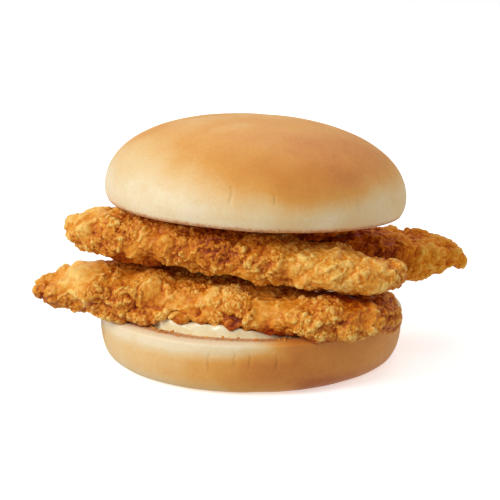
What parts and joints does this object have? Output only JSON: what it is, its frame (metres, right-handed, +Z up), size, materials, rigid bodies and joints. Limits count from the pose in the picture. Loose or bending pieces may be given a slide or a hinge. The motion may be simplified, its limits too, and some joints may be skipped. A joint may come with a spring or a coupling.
{
  "type": "chicken burger",
  "caption": "Round plain bun filled with craggy breaded chicken strips stacked in two layers over mayonnaise, the strips sticking out at both sides.",
  "frame": {"origin": "centre of the flat base of the bun's heel, on the surface that the burger stands on", "axes": "+Z up through the bun, +X along the strips towards the end where the rear strip sticks out, -Y towards the side that the picture shows"},
  "size_m": [0.1494, 0.1027, 0.0817],
  "materials": {
    "bun_crust": "matte baked bun, golden tan on top and pale cream at the sides",
    "breading": "craggy golden brown fried breading with a slight sheen of oil",
    "mayonnaise": "glossy cream white sauce"
  },
  "bodies": {
    "root": {"bun_heel": "bun_crust", "mayonnaise": "mayonnaise", "strip_lower_front": "breading", "strip_lower_rear": "breading", "strip_upper_front": "breading", "strip_upper_rear": "breading", "bun_crown": "bun_crust"}
  },
  "joints": []
}
